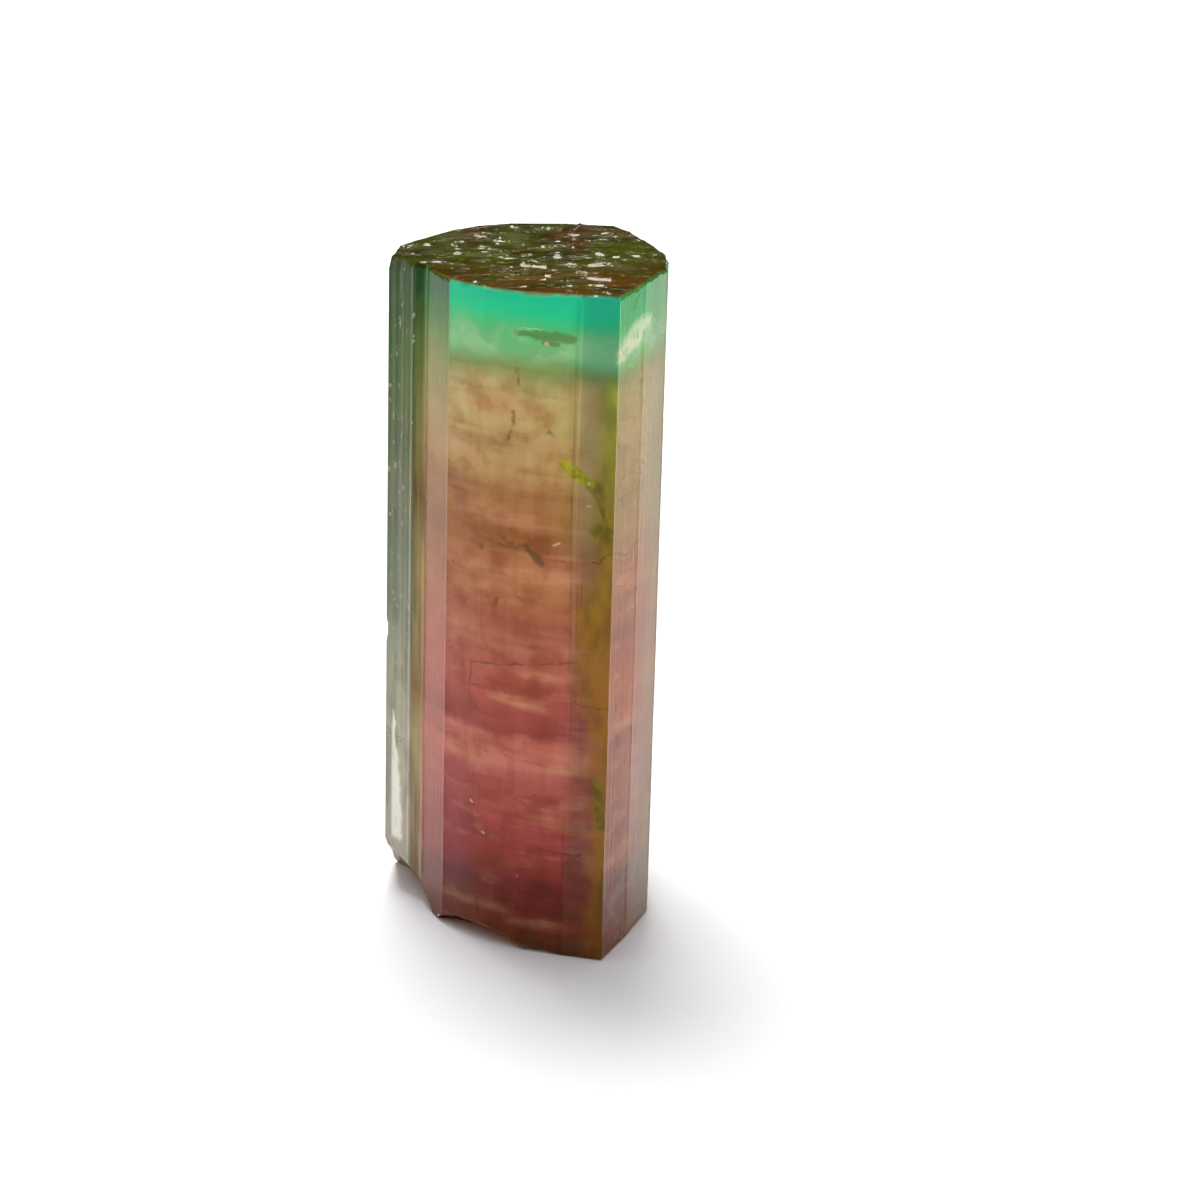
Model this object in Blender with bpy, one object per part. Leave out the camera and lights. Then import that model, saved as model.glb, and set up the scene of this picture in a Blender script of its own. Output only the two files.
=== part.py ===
"""Watermelon tourmaline crystal: one natural prism, 30 mm tall, standing on its flat base.

The prism is a rounded, three-sided tourmaline section with sharp edges and fine upright
striations. It ends in a shallow, etched top face that slopes down to the left, and in a
flat base whose front left edge is broken away.

Lengths are metres, +Z is up, and the origin is the middle of the base on the resting plane.
-Y is the broad front face.
"""

import math

import bmesh
import bpy
import numpy as np
from mathutils import Matrix, Vector

MM = 0.001

# Driving dimensions
HEIGHT = 30.0 * MM  # height of the top face over the front right edge
TOP_SLOPE = math.radians(2.2)  # the top face drops this much towards the left
FRONT_RIGHT_X = 4.03 * MM

# Corners of the prism in plan, from the front right edge round by the right, back and left.
# The side from each corner to the next is one prism face.
CORNERS_MM = (
    (4.03, -7.50),
    (5.10, -4.92),
    (6.06, -1.95),
    (6.10, -0.50),
    (5.97, 0.85),
    (5.41, 2.69),
    (4.50, 5.40),
    (3.75, 6.72),
    (1.50, 7.32),
    (-1.00, 7.50),
    (-2.50, 7.05),
    (-3.80, 5.95),
    (-5.25, 3.90),
    (-5.85, 2.90),
    (-6.10, 0.75),
    (-4.95, -0.70),
    (-4.62, -1.24),
    (-4.20, -1.90),
    (-3.20, -3.80),
    (-1.72, -5.45),
    (0.10, -6.52),
)
GROOVE_CORNER = 16  # the corner that is sunk to make the deep groove on the front left
GROOVE_DEPTH = 0.32 * MM

# Striations: shallow V-shaped furrows that run up each prism face
STRIA_WIDTH = 0.42 * MM  # half the mean width of a furrow
STRIA_DEPTH = 0.075 * MM
STRIA_SEED = 7
SIDE_LEVELS = 6  # stretches that a striation's depth varies over, from base to top

# Worn rims at the two ends
BASE_CHAMFER = 0.10 * MM
RIM_CHAMFER = 0.16 * MM
RIM_INSET = 0.982  # the section shrinks to this share of itself across a chamfer
CORNER_ROUNDING = 0.42 * MM  # extra wear of the top rim at the left corner
CORNER_REACH = 1.6 * MM

# The etched top face: raised terraces, each (x, y, half length, half width, turn, height)
TOP_RINGS = 18
TERRACE_EDGE = 0.22  # share of a terrace's size over which its edge falls
TERRACES_MM = (
    (-1.9, 5.2, 2.6, 1.5, 8, 0.16),
    (2.6, 5.0, 1.9, 1.2, -12, 0.14),
    (-4.1, 2.0, 1.6, 0.9, 35, 0.12),
    (-2.2, 1.1, 1.7, 0.8, -10, 0.09),
    (1.6, 0.4, 2.2, 0.9, 4, 0.11),
    (0.6, -3.4, 2.6, 0.8, 2, 0.08),
    (3.9, -1.0, 1.2, 2.0, 6, 0.10),
    (-0.6, -1.4, 1.3, 0.6, 14, 0.07),
)

# Pieces broken out of the crystal. Each scoop is an ellipsoid whose centre lies outside it:
# name, centre, half sizes, turn about Z in degrees, all lengths in mm.
SCOOPS_MM = (
    ("corner_break", (-10.9, -2.05, -4.90), (8.8, 8.8, 8.8), 0),
    ("corner_step", (-6.7, 0.4, -0.3), (2.2, 1.2, 3.05), -55),
    ("front_chip", (-1.95, -5.75, -0.6), (3.55, 1.95, 1.38), -41),
    ("front_sliver", (0.8, -7.25, -1.3), (3.2, 1.5, 1.62), -14),
    ("rim_chip", (-1.95, -5.75, 30.0), (0.8, 0.6, 0.5), -42),
    ("right_nick_high", (6.45, -0.55, 23.2), (0.45, 0.5, 0.42), 0),
    ("right_nick_low", (6.42, -0.2, 21.4), (0.42, 0.4, 0.55), 0),
    ("left_nick", (-6.45, 0.75, 12.4), (0.42, 0.5, 0.8), 0),
    ("back_rim_chip", (-1.6, 7.75, 30.1), (0.9, 0.6, 0.5), 0),
    ("back_rim_nick", (1.35, 7.6, 30.2), (0.35, 0.5, 0.45), 0),
)
SCOOP_SEGMENTS = 24
SCOOP_RINGS = 14

CRYSTAL_COLOUR = (0.62, 0.26, 0.24, 1.0)
CRYSTAL_ROUGHNESS = 0.12
CRYSTAL_TRANSMISSION = 0.6
CRYSTAL_IOR = 1.63  # tourmaline


def clear_scene():
    for obj in list(bpy.data.objects):
        bpy.data.objects.remove(obj)


def crystal_material():
    material = bpy.data.materials.new("tourmaline")
    material.use_nodes = True
    shader = material.node_tree.nodes["Principled BSDF"]
    shader.inputs["Base Color"].default_value = CRYSTAL_COLOUR
    shader.inputs["Roughness"].default_value = CRYSTAL_ROUGHNESS
    shader.inputs["Metallic"].default_value = 0.0
    shader.inputs["Transmission Weight"].default_value = CRYSTAL_TRANSMISSION
    shader.inputs["IOR"].default_value = CRYSTAL_IOR
    return material


def corners():
    """Corners of the plan in metres, with the groove's corner sunk into the crystal."""
    points = np.array(CORNERS_MM) * MM
    before, after = points[GROOVE_CORNER - 1], points[GROOVE_CORNER + 1]
    along = (after - before) / np.linalg.norm(after - before)
    inward = np.array((-along[1], along[0]))
    points[GROOVE_CORNER] += inward * GROOVE_DEPTH
    return points


def striated_outline():
    """Points round the plan, and for each its inward direction and its share of the striation depth.

    Every face is cut at points about STRIA_WIDTH apart, shifted a little at random. Every
    second point sinks to make a furrow's bottom. Corners stay on the sharp edges.
    """
    random = np.random.default_rng(STRIA_SEED)
    plan = corners()
    points, inwards, shares = [], [], []
    for start, end in zip(plan, np.roll(plan, -1, axis=0)):
        length = np.linalg.norm(end - start)
        along = (end - start) / length
        inward = np.array((-along[1], along[0]))
        strips = max(1, round(length / STRIA_WIDTH))
        cuts = np.arange(strips) / strips
        jitter = random.uniform(-0.28, 0.28, strips) / strips
        depth = random.uniform(0.25, 1.0, strips)
        for index in range(strips):
            first = index == 0
            share = cuts[index] + (0.0 if first else jitter[index])
            points.append(start + (end - start) * share)
            inwards.append(inward)
            shares.append(0.0 if first else depth[index] * (index % 2))
    return np.array(points), np.array(inwards), np.array(shares)


def level_fade(count, level):
    """How deep each striation is at a level: some fade out part of the way up the prism."""
    index = np.arange(count)
    return 0.6 + 0.4 * np.sin(index * 2.4 + level * 1.3)


def top_plane(x):
    """Height of the sloping top face over a point, before its relief."""
    return HEIGHT + (x - FRONT_RIGHT_X) * math.tan(TOP_SLOPE)


def terrace_relief(x, y):
    """Height that the etched terraces add at a point of the top face."""
    relief = 0.0
    for cx, cy, half_length, half_width, turn, height in TERRACES_MM:
        angle = math.radians(turn)
        dx, dy = x / MM - cx, y / MM - cy
        u = (dx * math.cos(angle) + dy * math.sin(angle)) / half_length
        v = (dy * math.cos(angle) - dx * math.sin(angle)) / half_width
        wobble = 0.14 * math.sin(3 * math.atan2(v, u) + cx)
        inside = (1.0 + wobble - math.hypot(u, v)) / TERRACE_EDGE
        share = min(max(inside, 0.0), 1.0)
        relief += height * MM * share * share * (3 - 2 * share)
    return relief


def rim_drop(point):
    """How far the worn rim lies under the top face at a point of the outline."""
    left = Vector(CORNERS_MM[14]) * MM
    near = math.exp(-(((Vector(point) - left).length / CORNER_REACH) ** 2))
    return RIM_CHAMFER + CORNER_ROUNDING * near


def add_ring(mesh, points):
    return [mesh.verts.new(point) for point in points]


def bridge(mesh, lower, upper):
    """Quads between two rings that have the same number of points."""
    for index in range(len(lower)):
        following = (index + 1) % len(lower)
        mesh.faces.new((lower[index], lower[following], upper[following], upper[index]))


def build_prism():
    """The whole crystal before anything is broken out of it."""
    outline, inwards, shares = striated_outline()
    mesh = bmesh.new()

    sunk = outline + inwards * (shares * STRIA_DEPTH)[:, None]
    base = add_ring(mesh, [(x * RIM_INSET, y * RIM_INSET, 0.0) for x, y in sunk])
    mesh.faces.new(list(reversed(base)))

    below = base
    for level in range(SIDE_LEVELS + 1):
        depth = shares * STRIA_DEPTH * level_fade(len(outline), level)
        ring = []
        for x, y in outline + inwards * depth[:, None]:
            low = BASE_CHAMFER
            high = top_plane(x) - rim_drop((x, y))
            ring.append((x, y, low + (high - low) * level / SIDE_LEVELS))
        above = add_ring(mesh, ring)
        bridge(mesh, below, above)
        below = above

    for step in range(TOP_RINGS):
        scale = RIM_INSET * (1 - step / TOP_RINGS)
        ring = []
        for x, y in sunk * scale:
            settled = min(1.0, step / 2)
            ring.append((x, y, top_plane(x) + terrace_relief(x, y) * settled))
        above = add_ring(mesh, ring)
        bridge(mesh, below, above)
        below = above

    middle = mesh.verts.new((0.0, 0.0, top_plane(0.0) + terrace_relief(0.0, 0.0)))
    for index in range(len(below)):
        mesh.faces.new((below[index], below[(index + 1) % len(below)], middle))

    bmesh.ops.recalc_face_normals(mesh, faces=mesh.faces)
    data = bpy.data.meshes.new("tourmaline_crystal")
    mesh.to_mesh(data)
    mesh.free()
    crystal = bpy.data.objects.new("tourmaline_crystal", data)
    bpy.context.scene.collection.objects.link(crystal)
    return crystal


def build_scoop(name, centre, half_sizes, turn, cutters):
    """One ellipsoid cutter, with its size in its mesh and its place on its object."""
    mesh = bmesh.new()
    bmesh.ops.create_uvsphere(
        mesh,
        u_segments=SCOOP_SEGMENTS,
        v_segments=SCOOP_RINGS,
        radius=1.0,
        matrix=Matrix.Diagonal((*[size * MM for size in half_sizes], 1.0)),
    )
    data = bpy.data.meshes.new(name)
    mesh.to_mesh(data)
    mesh.free()
    scoop = bpy.data.objects.new(name, data)
    scoop.location = Vector(centre) * MM
    scoop.rotation_euler.z = math.radians(turn)
    scoop.hide_render = True
    scoop.display_type = "WIRE"
    cutters.objects.link(scoop)


def break_edges(crystal):
    """Cuts every scoop out of the crystal."""
    cutters = bpy.data.collections.new("broken_out")
    bpy.context.scene.collection.children.link(cutters)
    for name, centre, half_sizes, turn in SCOOPS_MM:
        build_scoop(name, centre, half_sizes, turn, cutters)
    cut = crystal.modifiers.new("broken_out", "BOOLEAN")
    cut.operation = "DIFFERENCE"
    cut.solver = "EXACT"
    cut.operand_type = "COLLECTION"
    cut.collection = cutters


def main():
    clear_scene()
    crystal = build_prism()
    crystal.data.materials.append(crystal_material())
    break_edges(crystal)


main()
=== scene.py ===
"""Looks of a watermelon tourmaline crystal, 30 mm tall, standing on a pale floor.

The sections follow the crystal: its prism, its etched top, its broken edges, its colours,
what is enclosed in it, and last the floor, the lights and the camera. Lengths are metres
unless a name says MM, +Z is up, and -Y is the broad front face.
"""

import math

import bpy
import numpy as np
from mathutils import Matrix, Vector


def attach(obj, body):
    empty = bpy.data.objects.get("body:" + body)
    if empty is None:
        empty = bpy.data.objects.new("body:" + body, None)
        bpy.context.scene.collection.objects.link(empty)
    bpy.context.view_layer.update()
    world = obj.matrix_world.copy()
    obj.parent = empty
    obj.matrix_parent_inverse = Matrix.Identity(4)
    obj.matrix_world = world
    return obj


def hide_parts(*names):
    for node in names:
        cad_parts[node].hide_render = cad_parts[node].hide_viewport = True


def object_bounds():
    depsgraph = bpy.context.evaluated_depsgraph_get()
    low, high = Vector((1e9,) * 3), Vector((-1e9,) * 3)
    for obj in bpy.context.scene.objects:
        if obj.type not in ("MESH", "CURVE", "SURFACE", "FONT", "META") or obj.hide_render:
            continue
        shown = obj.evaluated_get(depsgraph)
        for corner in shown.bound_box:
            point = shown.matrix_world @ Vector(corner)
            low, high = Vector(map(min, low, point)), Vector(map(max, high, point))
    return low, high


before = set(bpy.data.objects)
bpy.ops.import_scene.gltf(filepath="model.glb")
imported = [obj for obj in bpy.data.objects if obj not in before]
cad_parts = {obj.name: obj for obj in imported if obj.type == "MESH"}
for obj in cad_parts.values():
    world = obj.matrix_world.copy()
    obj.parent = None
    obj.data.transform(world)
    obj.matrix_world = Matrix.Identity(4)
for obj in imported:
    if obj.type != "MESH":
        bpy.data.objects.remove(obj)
cad_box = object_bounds()

# The prism. It grew as a rounded three-sided column of tourmaline, with flat faces that meet
# in sharp upright edges, and with fine striations that run up every face.
MM = 0.001
HEIGHT = 30.0 * MM  # height of the top face over the front right edge
TOP_SLOPE = math.radians(2.2)  # the top face drops this much towards the left
FRONT_RIGHT_X = 4.03 * MM

# Corners in plan, from the front right edge round by the right, back and left
CORNERS_MM = (
    (4.03, -7.50),
    (5.10, -4.92),
    (6.06, -1.95),
    (6.10, -0.50),
    (5.97, 0.85),
    (5.41, 2.69),
    (4.50, 5.40),
    (3.75, 6.72),
    (1.50, 7.32),
    (-1.00, 7.50),
    (-2.50, 7.05),
    (-3.80, 5.95),
    (-5.25, 3.90),
    (-5.85, 2.90),
    (-6.10, 0.75),
    (-4.95, -0.70),
    (-4.62, -1.24),
    (-4.20, -1.90),
    (-3.20, -3.80),
    (-1.72, -5.45),
    (0.10, -6.52),
)
GROOVE_CORNER = 16  # the corner that is sunk to make the deep groove on the front left
GROOVE_DEPTH = 0.32 * MM
SMOOTH_FACES = (17, 18, 19, 20, 0, 1, 2)  # the broad front and the faces beside it
ROUNDED_CORNERS = (19, 20)  # two bends in the broad front that are no edges
ROUNDED_REACH = 1.3 * MM

RINGS = 84  # rings of the top's grid, from its middle to its rim
COLUMNS = 8 * RINGS  # points in the outermost ring, which the sides share

# Striations, coarse and fine: mean width, depth and random seed
STRIATIONS_MM = ((0.46, 0.060, 5), (0.15, 0.018, 11))
SMOOTH_SHARE = 0.16  # how deep they are on the smooth faces
EDGE_CLEAR = 0.16 * MM  # they fade out this close to an upright edge

# Heights of the side's rows: from, to and spacing. They are close at the base, the rim and the nicks.
ROW_BANDS_MM = (
    (0.10, 3.60, 0.15),
    (3.60, 11.40, 0.78),
    (11.40, 13.40, 0.25),
    (13.40, 15.80, 0.80),
    (15.80, 18.20, 0.25),
    (18.20, 20.60, 0.80),
    (20.60, 23.80, 0.25),
    (23.80, 29.20, 0.90),
    (29.20, 29.85, 0.13),
)
RIM_CHAMFER = 0.16 * MM
RIM_INSET = 0.982  # the section shrinks to this share of itself across a worn rim
CORNER_ROUNDING = 0.42 * MM  # extra wear of the top rim at the left corner
LEFT_CORNER = 14
CORNER_REACH = 1.6 * MM


def smooth_step(value):
    """Three times the square less twice the cube of a value held between 0 and 1."""
    held = np.clip(value, 0.0, 1.0)
    return held * held * (3.0 - 2.0 * held)


def prism_columns():
    """Points round the plan, their inward directions, distances round it and face numbers.

    A point is its face's first corner plus a share of the way to the next corner. Faces get
    columns in proportion to their length, and their shares are evenly spaced. Near a rounded
    corner it moves inwards by a square of how near it is, which bends the face as a parabola.
    """
    plan = np.array(CORNERS_MM) * MM
    before, after = plan[GROOVE_CORNER - 1], plan[GROOVE_CORNER + 1]
    along = (after - before) / np.linalg.norm(after - before)
    plan[GROOVE_CORNER] += np.array((-along[1], along[0])) * GROOVE_DEPTH
    spans = np.roll(plan, -1, axis=0) - plan
    lengths = np.linalg.norm(spans, axis=1)
    reached = np.concatenate(([0.0], np.cumsum(lengths)))
    firsts = np.round(reached / reached[-1] * COLUMNS).astype(int)
    face = np.repeat(np.arange(len(plan)), np.diff(firsts))
    share = (np.arange(COLUMNS) - firsts[face]) / np.diff(firsts)[face]
    points = plan[face] + spans[face] * share[:, None]
    inward = np.stack((-spans[:, 1], spans[:, 0]), axis=1)[face] / lengths[face][:, None]
    nearest_edge = np.minimum(share, 1.0 - share) * lengths[face]
    around = reached[face] + share * lengths[face]
    for corner in ROUNDED_CORNERS:
        before, after = spans[corner - 1] / lengths[corner - 1], spans[corner] / lengths[corner]
        half_turn = 0.5 * math.acos(before @ after)
        near = np.maximum(1.0 - np.abs(around - reached[corner]) / ROUNDED_REACH, 0.0)
        points += inward * (0.5 * ROUNDED_REACH * math.sin(half_turn) * near**2)[:, None]
    return points, inward, around, face, nearest_edge


def striation_depth(around, face, nearest_edge):
    """How far each column is sunk: a sum of stairs round the plan.

    Each stair cuts the way round into strips of random width, and every strip has one random
    level. The sum fades to nothing at the upright edges and is shallow on the smooth faces.
    """
    depth = np.zeros(COLUMNS)
    for width, deepest, seed in STRIATIONS_MM:
        random = np.random.default_rng(seed)
        strips = round(around[-1] / (width * MM))
        edges = np.sort(random.uniform(0.0, around[-1], strips))
        levels = random.uniform(0.0, deepest * MM, strips + 1)
        depth += levels[np.searchsorted(edges, around)]
    depth *= np.where(np.isin(face, SMOOTH_FACES), SMOOTH_SHARE, 1.0)
    return depth * smooth_step(nearest_edge / EDGE_CLEAR)


def top_plane(x):
    """Height of the sloping top face: a straight ramp along X."""
    return HEIGHT + (x - FRONT_RIGHT_X) * math.tan(TOP_SLOPE)


def rim_height(points, around):
    """Height of the worn rim: the top face's ramp less a chamfer that wanders with three sines
    of the way round, less a bell of extra wear at the left corner."""
    turn = around / around[-1] * 2.0 * math.pi
    wander = 1.0 + 0.25 * np.sin(9 * turn) + 0.2 * np.sin(23 * turn + 1.0) + 0.15 * np.sin(51 * turn)
    left = np.array(CORNERS_MM[LEFT_CORNER]) * MM
    near = np.exp(-((np.linalg.norm(points - left, axis=1) / CORNER_REACH) ** 2))
    return top_plane(points[:, 0]) - RIM_CHAMFER * wander - CORNER_ROUNDING * near


def prism_side(columns, inward, around, sunk):
    """Rows of the side, as an array of row, column and coordinate.

    A point is its column's plan point moved inwards by the column's striation depth, which
    swells and thins up the prism as a sine, and by a slow swell of the whole face. Its height
    is its row's share of the height of the rim. Row 0 is the base's edge, drawn in.
    """
    rows = np.concatenate([np.arange(low, high, step) for low, high, step in ROW_BANDS_MM])
    share = rows / rows[-1]
    rim = rim_height(columns, around)
    wave = 0.75 + 0.25 * np.sin(share[:, None] * 7.0 + np.floor(around / (1.3 * MM)) * 2.1)
    swell = 0.012 * MM * np.sin(share[:, None] * 11.0 + around / (2.1 * MM))
    offset = sunk * wave + np.abs(swell) * (sunk > 0)
    plan = columns[None] + inward[None] * offset[..., None]
    height = share[:, None] * rim[None]
    side = np.concatenate((plan, height[..., None]), axis=2)
    foot = np.concatenate((side[0, :, :2] * RIM_INSET, np.zeros((COLUMNS, 1))), axis=1)
    return np.concatenate((foot[None], side))


columns, inward, around, face, nearest_edge = prism_columns()
sunk = striation_depth(around, face, nearest_edge)
side = prism_side(columns, inward, around, sunk)

# The top. It is a natural end of the crystal, etched into low terraces and little hooked
# ridges, which glint against the dark depth of the prism below them.
TERRACE_EDGE = 0.6  # share of a terrace's size over which its edge falls
# Terraces: x, y, half length, half width, turn in degrees, height
TERRACES_MM = (
    (-1.9, 5.2, 2.6, 1.5, 8, 0.16),
    (2.6, 5.0, 1.9, 1.2, -12, 0.14),
    (-4.1, 2.0, 1.6, 0.9, 35, 0.12),
    (-2.2, 1.1, 1.7, 0.8, -10, 0.09),
    (1.6, 0.4, 2.2, 0.9, 4, 0.11),
    (0.6, -3.4, 2.6, 0.8, 2, 0.08),
    (3.9, -1.0, 1.2, 2.0, 6, 0.10),
    (-0.6, -1.4, 1.3, 0.6, 14, 0.07),
)
HOOKS = 175
HOOK_SEED = 23
HOOK_RADIUS_MM = (0.35, 1.8)
HOOK_LENGTH_MM = (0.35, 1.15)
HOOK_LEAN = 0.65  # radians that a hook may lean from lying left to right
HOOK_WIDTH_MM = (0.09, 0.13)
HOOK_STEEPNESS = (0.42, 0.76)  # height over width
# Long curved ridges, as chains of x and y
RIDGES_MM = (
    ((-0.94, 5.67), (-0.30, 5.21), (0.13, 5.83), (0.80, 6.02), (1.49, 5.34), (1.96, 4.47)),
    ((2.14, 7.04), (2.25, 5.74), (2.62, 5.29), (3.29, 5.04), (3.83, 5.23)),
    ((-5.74, 2.52), (-4.40, 2.25), (-4.14, 3.27)),
    ((-0.14, -1.55), (0.78, -1.98)),
    ((2.70, -1.68), (3.86, -1.73)),
    ((2.56, -4.17), (3.57, -4.59)),
    ((-1.70, 3.60), (-1.20, 3.30), (-0.60, 3.60)),
    ((0.60, 2.20), (1.20, 2.40), (1.90, 1.90)),
)
RIDGE_WIDTH = 0.15 * MM
RIDGE_HEIGHT = 0.115 * MM
RIDGE_WANDER = 0.07 * MM
RIDGE_WAVES_MM = (0.31, 0.37)  # of the two sines that bend the ridges, along X and Y


def terrace_relief(x, y):
    """Sum of terraces: flat inside a wavy ellipse, and a smooth step down across its edge."""
    relief = np.zeros_like(x)
    for cx, cy, half_length, half_width, turn, height in TERRACES_MM:
        angle = math.radians(turn)
        dx, dy = x / MM - cx, y / MM - cy
        u = (dx * math.cos(angle) + dy * math.sin(angle)) / half_length
        v = (dy * math.cos(angle) - dx * math.sin(angle)) / half_width
        wobble = 0.14 * np.sin(3 * np.arctan2(v, u) + cx)
        relief += height * MM * smooth_step((1.0 + wobble - np.hypot(u, v)) / TERRACE_EDGE)
    return relief


def hook_relief(x, y):
    """The highest of the hooks: each is bell-shaped across an arc of a circle, and fades at its ends."""
    random = np.random.default_rng(HOOK_SEED)
    relief = np.zeros_like(x)
    for _ in range(HOOKS):
        cx, cy = random.uniform((-6.0, -7.4), (6.0, 7.4)) * MM
        radius = random.uniform(*HOOK_RADIUS_MM) * MM
        sweep = random.uniform(*HOOK_LENGTH_MM) * MM / radius
        middle = math.pi * (random.integers(2) - 0.5) + random.uniform(-HOOK_LEAN, HOOK_LEAN)
        width = random.uniform(*HOOK_WIDTH_MM) * MM
        away = np.hypot(x - cx, y - cy) - radius
        turn = (np.arctan2(y - cy, x - cx) - middle + math.pi) % (2.0 * math.pi) - math.pi
        ending = smooth_step((0.5 * sweep - np.abs(turn)) / (0.2 * sweep))
        height = random.uniform(*HOOK_STEEPNESS) * width
        relief = np.maximum(relief, height * np.exp(-((away / width) ** 2)) * ending)
    return relief


def ridge_relief(x, y):
    """The long ridges: a bell of the distance to the nearest straight piece of any chain, which
    two sines bend a little."""
    sideways = RIDGE_WANDER * np.sin(y / (RIDGE_WAVES_MM[0] * MM))
    forwards = RIDGE_WANDER * np.sin(x / (RIDGE_WAVES_MM[1] * MM))
    bent = np.stack((x + sideways, y + forwards), axis=-1)
    nearest = np.full_like(x, np.inf)
    for chain in RIDGES_MM:
        ends = np.array(chain) * MM
        for start, piece in zip(ends[:-1], np.diff(ends, axis=0)):
            share = np.clip((bent - start) @ piece / (piece @ piece), 0.0, 1.0)
            away = np.linalg.norm(bent - start - share[..., None] * piece, axis=-1)
            nearest = np.minimum(nearest, away)
    return RIDGE_HEIGHT * np.exp(-((nearest / RIDGE_WIDTH) ** 2))


def top_grid(rim):
    """The top as a square grid of points, with the ring number and ring place of each.

    Ring k of the grid is the square of points whose larger coordinate is k. Its points lie on
    the prism's outline, shrunk towards the middle in proportion to k. The outermost ring is
    the rim itself. Heights are the ramp of the top face with its terraces, hooks and ridges,
    held under the crystal's full height.
    """
    line = np.arange(-RINGS, RINGS + 1)
    i, j = np.meshgrid(line, line, indexing="ij")
    ring = np.maximum(np.abs(i), np.abs(j))
    place = np.select(
        [(i == ring) & (j < ring), (j == ring) & (i > -ring), (i == -ring) & (j > -ring)],
        [j + ring, 3 * ring - i, 5 * ring - j],
        7 * ring + i,
    ) % np.maximum(8 * ring, 1)
    column = place * COLUMNS / np.maximum(8 * ring, 1)
    steps = np.arange(COLUMNS + 1)
    closed = np.concatenate((rim[:, :2], rim[:1, :2]))
    scale = np.where(ring == RINGS, 1.0, RIM_INSET * ring / (RINGS - 1))
    x = np.interp(column, steps, closed[:, 0]) * scale
    y = np.interp(column, steps, closed[:, 1]) * scale
    settled = smooth_step((RINGS - ring) / 4.0)
    raised = np.maximum(hook_relief(x, y), ridge_relief(x, y))
    z = top_plane(x) + (terrace_relief(x, y) + raised) * settled
    z = np.minimum(z, cad_box[1][2])
    return np.stack((x, y, z), axis=2), ring, place


top, top_ring, top_place = top_grid(side[-1])

# The broken edges. The front left edge of the base has broken away in shell-like scoops, and
# there are small nicks in the upright edges and in the rim.
# Scoops: centre, half sizes, turn about Z in degrees
SCOOPS_MM = (
    ((-10.9, -2.05, -4.90), (8.8, 8.8, 8.8), 0),
    ((-6.7, 0.4, -0.3), (2.2, 1.2, 3.05), -55),
    ((-1.95, -5.75, -0.6), (3.55, 1.95, 1.38), -41),
    ((0.8, -7.25, -1.3), (3.2, 1.5, 1.62), -14),
    ((-1.95, -5.75, 30.0), (0.8, 0.6, 0.5), -42),
    ((6.45, -0.55, 23.2), (0.45, 0.5, 0.42), 0),
    ((6.42, -0.2, 21.4), (0.42, 0.4, 0.55), 0),
    ((-6.45, 0.75, 12.4), (0.42, 0.5, 0.8), 0),
    ((-1.6, 7.75, 30.1), (0.9, 0.6, 0.5), 0),
    ((1.35, 7.6, 30.2), (0.35, 0.5, 0.45), 0),
)
RIPPLE_DEPTH = 0.05 * MM  # of the ripples that spread over a shell-like break
RIPPLE_LENGTH = 0.55 * MM
BASE_SCALES = (0.955, 0.92, 0.885, 0.85, 0.81, 0.77, 0.73, 0.69, 0.64, 0.58, 0.5)
SHARP_ANGLE = math.radians(22)  # edges that bend more than this stay sharp


def break_away(points):
    """Moves every point inside a scoop straight away from the scoop's centre to its surface.

    A scoop is an ellipsoid with its centre outside the crystal. The surface is rippled by a
    sine of the distance from one side of the scoop. Gives the points and which ones moved.
    """
    broken = np.zeros(points.shape[:-1])
    for centre, half, turn in SCOOPS_MM:
        angle = math.radians(turn)
        turned = np.array(
            ((math.cos(angle), math.sin(angle), 0), (-math.sin(angle), math.cos(angle), 0), (0, 0, 1))
        )
        half = np.array(half) * MM
        local = (points - np.array(centre) * MM) @ turned.T / half
        distance = np.linalg.norm(local, axis=-1)
        inside = distance < 1.0
        spread = (local * half)[..., 0] + 1.7 * (local * half)[..., 2]
        depth = smooth_step((1.0 - distance) / 0.1) * RIPPLE_DEPTH
        grown = 1.0 + depth / half.min() * (1.0 + np.sin(spread / RIPPLE_LENGTH * 2.0 * math.pi))
        moved = local / np.maximum(distance, 1e-6)[..., None] * grown[..., None] * half
        moved = moved @ turned + np.array(centre) * MM
        points = np.where(inside[..., None], moved, points)
        broken = np.maximum(broken, inside)
    return points, broken


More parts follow.
